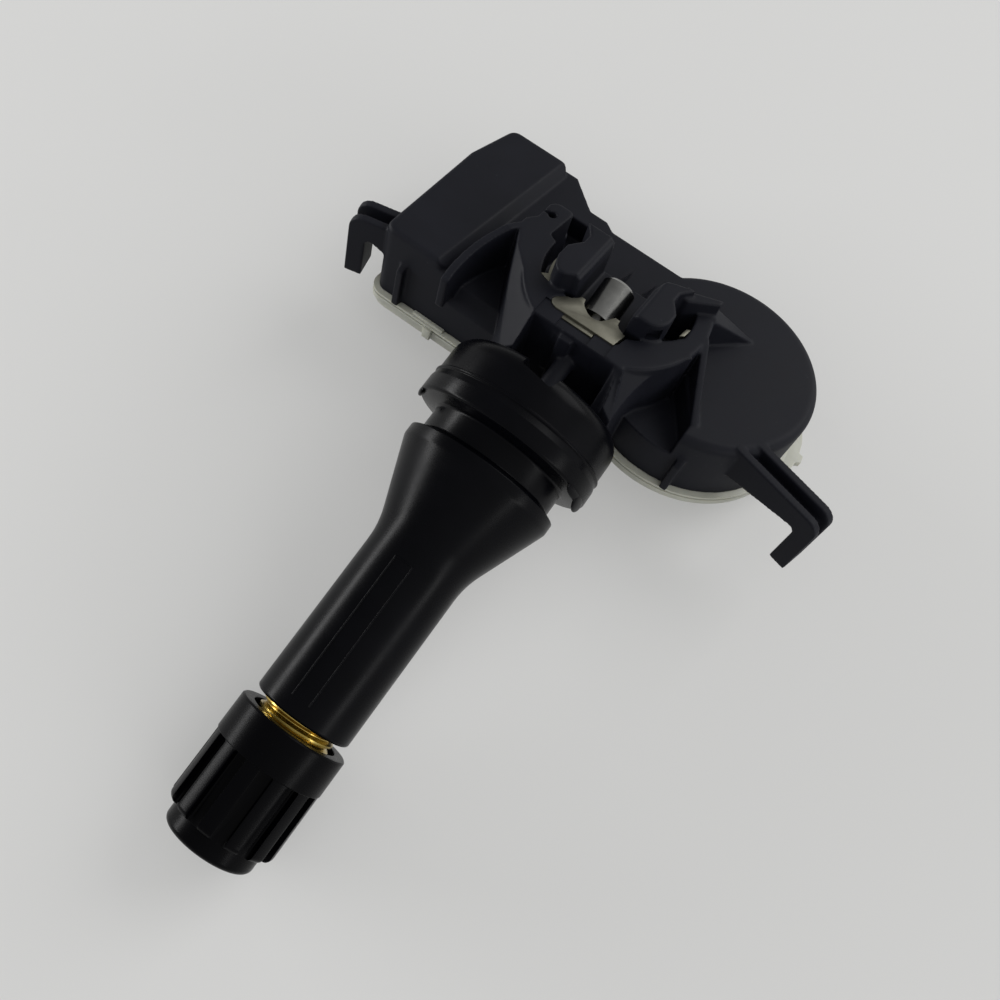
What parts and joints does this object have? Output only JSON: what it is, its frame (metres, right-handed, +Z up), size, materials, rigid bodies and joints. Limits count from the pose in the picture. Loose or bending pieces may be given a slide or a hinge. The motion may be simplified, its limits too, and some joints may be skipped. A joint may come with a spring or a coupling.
{
  "type": "tyre pressure sensor",
  "caption": "Tyre pressure sensor with a snap-in rubber valve: moulded housing with box, battery cup, arms and valve cradle on a pale cover, brass stem and fluted dust cap.",
  "frame": {"origin": "middle of the part's footprint, on the surface it lies on", "axes": "+Z up, -Y towards the dust cap along the valve, +X towards the battery cup"},
  "size_m": [0.057, 0.077, 0.0222],
  "materials": {
    "housing_plastic": "fine matt moulded black",
    "cover_plastic": "smooth ivory moulding",
    "valve_rubber": "satin black moulded rubber",
    "cap_plastic": "satin black moulding",
    "stem_brass": "bright turned brass",
    "foot_steel": "turned steel",
    "plate_steel": "stamped bright plate",
    "board_laminate": "green solder mask",
    "chip_plastic": "moulded chip package",
    "can_steel": "plated steel",
    "ceramic": "ceramic chip",
    "ferrite": "grey ferrite",
    "copper": "enamelled copper",
    "seal_rubber": "soft black rubber",
    "core_brass": "turned brass",
    "spring_steel": "spring wire"
  },
  "bodies": {
    "sensor_body": {"housing": "housing_plastic", "bottom_cover": "cover_plastic", "retaining_plate": "plate_steel", "circuit_board": "board_laminate", "sensor_chip": "chip_plastic", "pressure_port_seal": "seal_rubber", "crystal": "can_steel", "capacitors": "ceramic", "lf_coil_core": "ferrite", "lf_coil_winding": "copper", "rf_antenna": "copper", "battery_cell": "can_steel", "battery_tab_top": "can_steel", "battery_tab_bottom": "can_steel", "rubber_valve_body": "valve_rubber", "brass_stem": "stem_brass", "valve_foot": "foot_steel", "core_barrel": "core_brass", "core_spring": "spring_steel", "core_gasket": "seal_rubber"},
    "cap_carrier": {"cap_gasket": "seal_rubber"},
    "cap": {"dust_cap": "cap_plastic"},
    "valve_pin": {"core_pin": "core_brass", "core_cup_seal": "seal_rubber"}
  },
  "joints": [
    {"name": "cap_lift", "type": "slide", "parent": "sensor_body", "child": "cap_carrier", "axis": [0, -0.9864, -0.1641], "range_m": [0, 0.00953]},
    {"name": "cap_turn", "type": "hinge", "parent": "cap_carrier", "child": "cap", "pos_m": [-0.00115, -0.02541, 0.00709], "axis": [0, -0.9864, -0.1641], "range_deg": [0, 4330]},
    {"name": "pin_press", "type": "slide", "parent": "sensor_body", "child": "valve_pin", "axis": [0, 0.9864, 0.1641], "range_m": [0, 0.001], "stiffness_N_per_m": 800, "springref_m": -0.0015, "deforming": ["core_spring"]}
  ],
  "couplings": [
    {"joint": "cap_turn", "follows": "cap_lift", "rad_per_m": 7913.3}
  ]
}
